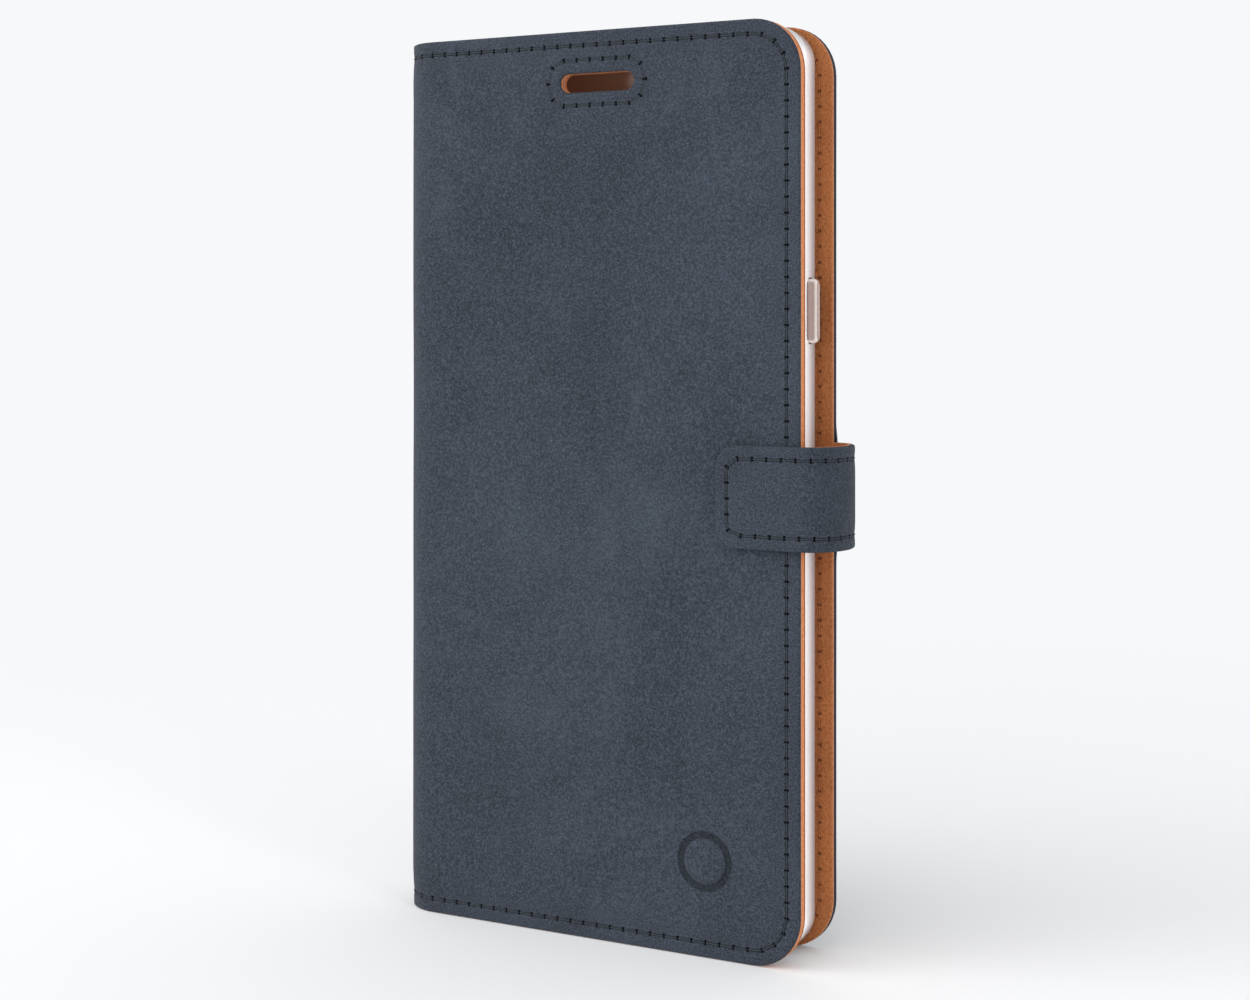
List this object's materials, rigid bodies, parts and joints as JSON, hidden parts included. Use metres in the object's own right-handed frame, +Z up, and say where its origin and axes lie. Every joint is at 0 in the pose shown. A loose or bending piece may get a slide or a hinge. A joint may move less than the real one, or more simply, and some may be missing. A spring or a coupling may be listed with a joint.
{
  "type": "phone wallet case",
  "caption": "Folding leather phone case: stitched nubuck cover with a round spine, clear phone tray, card pockets and a strap that wraps the edge to a magnet.",
  "frame": {"origin": "on the back cover's outer face, behind the middle of the phone tray", "axes": "+X from the spine towards the free edge that the strap wraps, +Y from the front cover towards the back cover, +Z up towards the speaker slot"},
  "size_m": [0.0936, 0.018, 0.17],
  "materials": {
    "outer_leather": "matt navy nubuck with fine mottling",
    "lining_leather": "matt tan nubuck with dark pores",
    "board": "grey stiffener board",
    "clear_tray": "clear thermoplastic polyurethane, glossy",
    "adhesive_film": "double-sided film",
    "thread": "black waxed thread",
    "lining_thread": "brown waxed thread",
    "steel": "nickel-plated"
  },
  "bodies": {
    "back_cover": {"back_outer_leather": "outer_leather", "back_stiffener_board": "board", "back_lining": "lining_leather", "tray_adhesive_film": "adhesive_film", "phone_tray": "clear_tray", "strap_root_leather": "outer_leather", "strap_root_lining": "lining_leather", "back_edge_needle_thread": "thread", "back_edge_bobbin_thread": "lining_thread", "camera_window_thread": "thread"},
    "spine": {"spine_outer_leather": "outer_leather", "spine_lining": "lining_leather", "spine_upper_thread": "thread", "spine_lower_thread": "thread"},
    "front_cover": {"front_outer_leather": "outer_leather", "front_stiffener_board": "board", "front_lining": "lining_leather", "front_catch_plate": "steel", "front_edge_needle_thread": "thread", "front_edge_bobbin_thread": "lining_thread", "speaker_slot_thread": "thread", "cash_pocket_panel": "lining_leather", "card_pocket_rear": "lining_leather", "card_pocket_middle": "lining_leather", "card_pocket_front": "lining_leather", "card_pocket_thread": "lining_thread"},
    "strap_loop": {"strap_loop_leather": "outer_leather", "strap_loop_lining": "lining_leather", "strap_loop_upper_thread": "thread", "strap_loop_lower_thread": "thread"},
    "strap_tip": {"strap_tip_leather": "outer_leather", "strap_tip_lining": "lining_leather", "strap_magnet": "steel", "strap_tip_thread": "thread"},
    "power_button": {"power_button_pad": "clear_tray"},
    "volume_button": {"volume_button_pad": "clear_tray"}
  },
  "joints": [
    {"name": "spine_fold", "type": "hinge", "parent": "back_cover", "child": "spine", "pos_m": [-0.04293, -0.00237, 0], "axis": [0, 0, -1], "range_deg": [0, 175]},
    {"name": "front_cover_fold", "type": "hinge", "parent": "spine", "child": "front_cover", "pos_m": [-0.04293, -0.01383, 0], "axis": [0, 0, -1], "range_deg": [0, 175]},
    {"name": "strap_root_bend", "type": "hinge", "parent": "back_cover", "child": "strap_loop", "pos_m": [0.04657, -0.00323, 0], "axis": [0, 0, 1], "range_deg": [0, 90]},
    {"name": "strap_tip_bend", "type": "hinge", "parent": "strap_loop", "child": "strap_tip", "pos_m": [0.04657, -0.01542, 0], "axis": [0, 0, 1], "range_deg": [0, 90]},
    {"name": "power_button_press", "type": "slide", "parent": "back_cover", "child": "power_button", "axis": [-1, 0, 0], "range_m": [0, 0.0004]},
    {"name": "volume_button_press", "type": "slide", "parent": "back_cover", "child": "volume_button", "axis": [1, 0, 0], "range_m": [0, 0.0004]}
  ]
}
